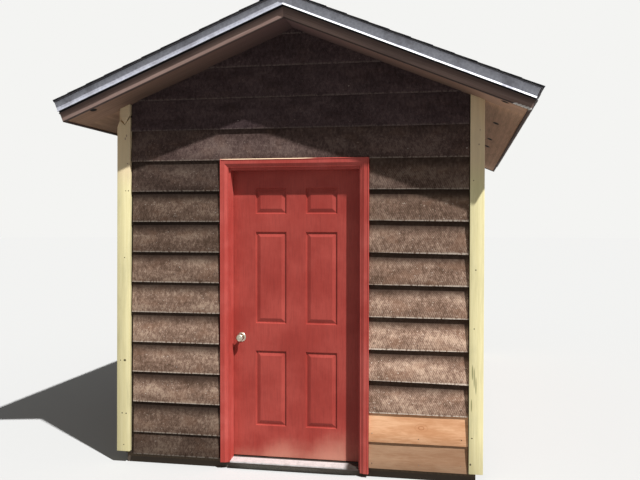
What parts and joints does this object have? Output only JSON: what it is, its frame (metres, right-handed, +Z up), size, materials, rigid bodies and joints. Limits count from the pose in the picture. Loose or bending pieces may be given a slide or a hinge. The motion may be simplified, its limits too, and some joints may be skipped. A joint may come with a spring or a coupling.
{
  "type": "wooden outhouse",
  "caption": "Gabled timber outhouse with lapped board walls, corner boards, a panelled door that swings inward, a turning knob and a shingle roof with closed soffits.",
  "frame": {"origin": "on the ground under the middle of the plan, at the bottom centre of the box", "axes": "+Z up, the door in the gable wall that faces -Y, +X to the right of someone facing the door, the ridge along Y"},
  "size_m": [3.2196, 5.5934, 3.186],
  "materials": {
    "concrete": "broomed, stained with soil",
    "framing_lumber": "planed softwood, unfinished",
    "lap_boards": "rough sawn boards, weathered brown stain",
    "corner_paint": "planed board, worn cream paint",
    "plywood": "sheathing plywood",
    "trim_stain": "dark brown stained board",
    "soffit_ply": "brown stained plywood",
    "galvanised": "galvanised sheet, dull",
    "asphalt_shingle": "mineral granules",
    "casing_paint": "red paint, satin",
    "door_paint": "red paint, satin, sun faded",
    "aluminium": "mill finish, scuffed",
    "satin_nickel": "satin nickel plate",
    "brass_plate": "brass plate, dull"
  },
  "bodies": {
    "building": {"floor_slab": "concrete", "front_frame_left": "framing_lumber", "front_frame_right": "framing_lumber", "front_frame_top": "framing_lumber", "left_wall_frame": "framing_lumber", "right_wall_frame": "framing_lumber", "back_wall_frame": "framing_lumber", "front_siding_left": "lap_boards", "front_siding_right": "lap_boards", "front_siding_top": "lap_boards", "left_siding": "lap_boards", "right_siding": "lap_boards", "back_siding": "lap_boards", "corner_board_left": "corner_paint", "corner_scab": "corner_paint", "corner_board_right": "corner_paint", "corner_boards_sides": "corner_paint", "corner_boards_back": "corner_paint", "ridge_board": "framing_lumber", "rafters_left": "framing_lumber", "rafters_right": "framing_lumber", "roof_deck_left": "plywood", "roof_deck_right": "plywood", "fascia_left": "trim_stain", "fascia_right": "trim_stain", "rake_boards_front": "trim_stain", "rake_boards_back": "trim_stain", "rake_strips": "trim_stain", "soffits_eaves": "soffit_ply", "soffits_rakes": "soffit_ply", "drip_edge_left": "galvanised", "drip_edge_right": "galvanised", "shingles_left": "asphalt_shingle", "shingles_right": "asphalt_shingle", "ridge_cap": "asphalt_shingle", "jamb_left": "casing_paint", "jamb_right": "casing_paint", "jamb_head": "casing_paint", "door_sill": "aluminium", "casing_left": "casing_paint", "casing_right": "casing_paint", "casing_head": "casing_paint", "strike_plate": "satin_nickel", "jamb_hinges": "brass_plate"},
    "door": {"door_leaf": "door_paint", "door_hinges": "brass_plate", "latch_plate": "satin_nickel", "rose_plates": "satin_nickel"},
    "knob": {"door_knobs": "satin_nickel"}
  },
  "joints": [
    {"name": "door_hinge", "type": "hinge", "parent": "building", "child": "door", "pos_m": [0.4567, -2.3265, 1.074], "axis": [0, 0, -1], "range_deg": [0, 110]},
    {"name": "knob_turn", "type": "hinge", "parent": "door", "child": "knob", "pos_m": [-0.3925, -2.3555, 0.906], "axis": [0, -1, 0], "range_deg": [-60, 60], "stiffness_Nm_per_rad": 0.25}
  ]
}
